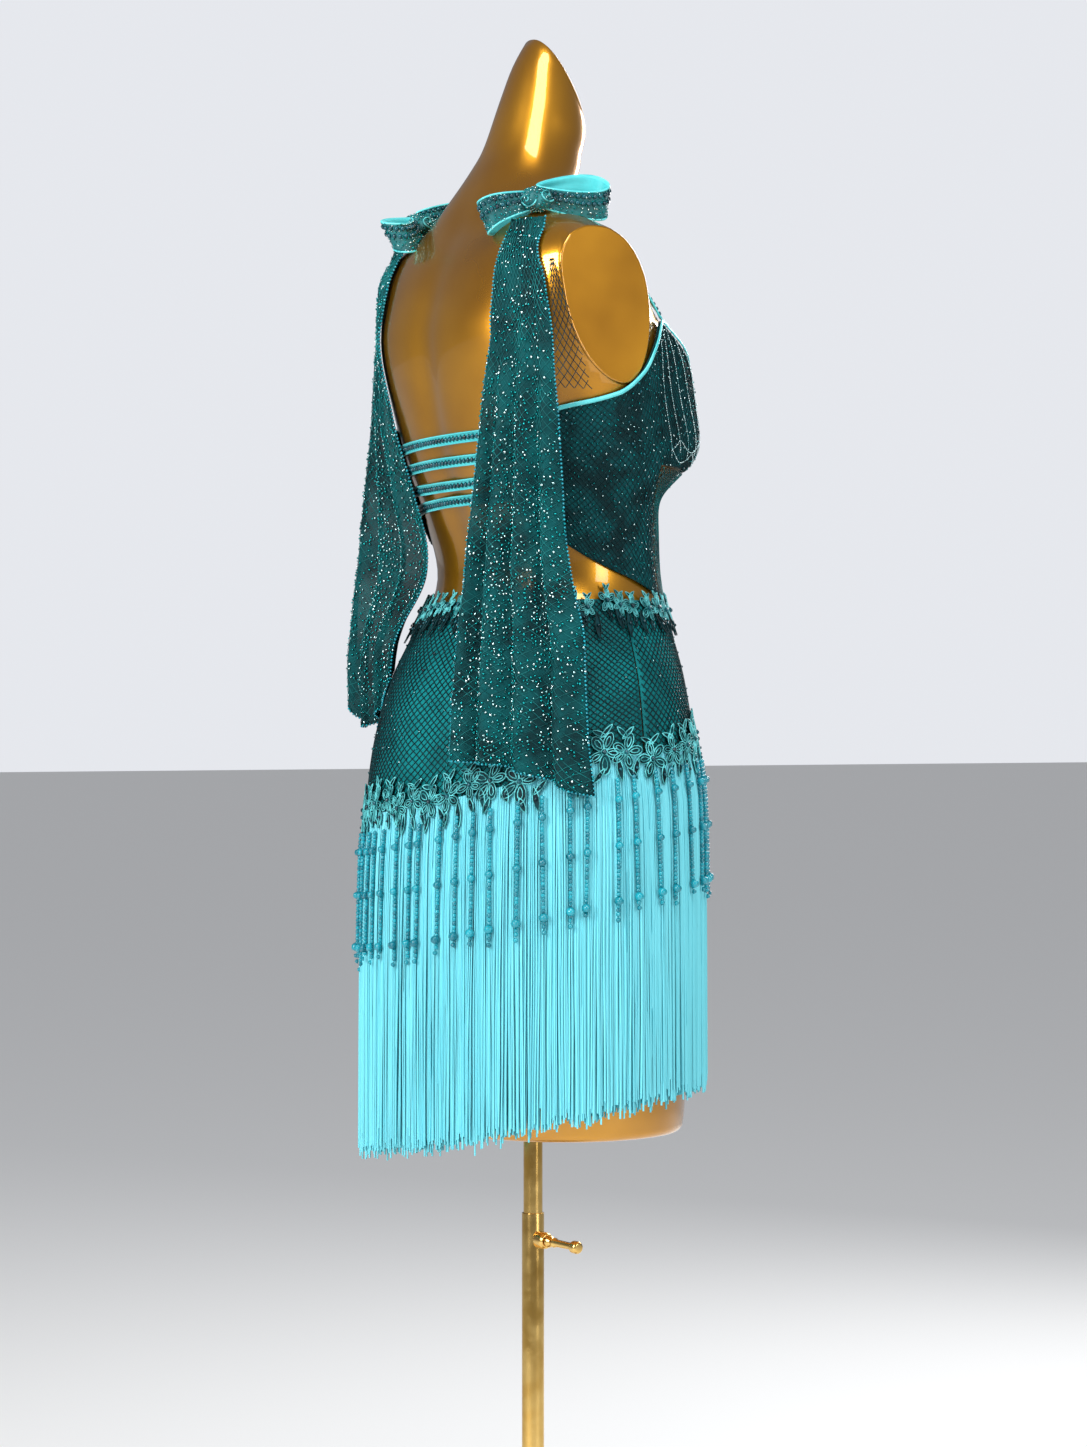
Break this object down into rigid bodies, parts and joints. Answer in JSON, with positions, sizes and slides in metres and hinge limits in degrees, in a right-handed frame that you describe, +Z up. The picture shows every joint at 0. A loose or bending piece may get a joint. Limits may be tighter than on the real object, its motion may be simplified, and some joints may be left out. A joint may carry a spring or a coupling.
{
  "type": "salsa dance dress on a dress form",
  "caption": "Fringed backless dance dress of sequinned net with bow shoulders and net drapes, worn by a limbless dress form on a height-adjustable stand.",
  "frame": {"origin": "on the floor, on the axis of the stand's tubes, at the middle of the base's underside", "axes": "+Z up, -Y the way the wearer faces, +X towards the wearer's left"},
  "size_m": [0.3644, 0.304, 1.6148],
  "materials": {
    "gold_paint": "pearl gold paint under clear gloss",
    "brass_plate": "polished brass plate",
    "net": "fishnet over sheer lining with glued crystals",
    "satin": "turquoise satin with rows of dark crystals",
    "fringe": "rayon chainette strands",
    "lace": "corded flower lace with crystals",
    "beads": "faceted teal beads"
  },
  "bodies": {
    "stand": {"base_plate": "brass_plate", "outer_tube": "brass_plate", "screw_boss": "brass_plate"},
    "lock": {"locking_screw": "brass_plate"},
    "pole": {"inner_tube": "brass_plate"},
    "figure": {"form": "gold_paint", "form_flange": "brass_plate", "cup_left": "net", "cup_right": "net", "side_panel_left": "net", "side_panel_right": "net", "net_front": "net", "drape_left": "net", "drape_right": "net", "yoke_front": "net", "yoke_back": "net", "top_binding_left": "satin", "top_binding_right": "satin", "front_strap_left": "satin", "front_strap_right": "satin", "back_strap_1": "satin", "back_strap_2": "satin", "back_strap_3": "satin", "back_strap_4": "satin", "bow_knot_left": "satin", "bow_front_left": "satin", "bow_back_left": "satin", "bow_knot_right": "satin", "bow_front_right": "satin", "bow_back_right": "satin", "fringe": "fringe", "lace_hip": "lace", "lace_waist": "lace", "bead_strands": "beads"}
  },
  "joints": [
    {"name": "lock_turn", "type": "hinge", "parent": "stand", "child": "lock", "pos_m": [-0.04, 0, 0.537], "axis": [-1, 0, 0], "range_deg": [0, 270]},
    {"name": "height_slide", "type": "slide", "parent": "stand", "child": "pole", "axis": [0, 0, 1], "range_m": [-0.07, 0.25]},
    {"name": "form_swivel", "type": "hinge", "parent": "pole", "child": "figure", "pos_m": [0, 0, 0.64], "axis": [0, 0, 1], "continuous": true}
  ]
}
